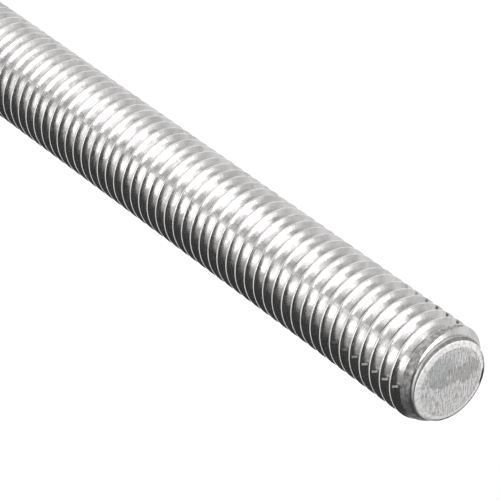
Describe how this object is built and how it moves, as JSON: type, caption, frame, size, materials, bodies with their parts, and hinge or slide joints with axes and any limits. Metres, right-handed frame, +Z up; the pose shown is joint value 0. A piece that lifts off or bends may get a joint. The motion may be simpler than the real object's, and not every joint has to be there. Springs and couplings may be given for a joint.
{
  "type": "threaded rod",
  "caption": "Straight steel rod with a continuous right-hand screw thread and bevelled, square-sawn ends, on which nuts run to clamp, hang or space things.",
  "frame": {"origin": "middle of the lower sawn end, on the surface that the rod stands on", "axes": "+Z up the rod's axis towards the upper sawn end"},
  "size_m": [0.0118, 0.0118, 0.1],
  "materials": {
    "bright_steel": "bright rolled stainless steel with sawn and lightly turned ends"
  },
  "bodies": {
    "root": {"threaded_rod": "bright_steel"}
  },
  "joints": []
}
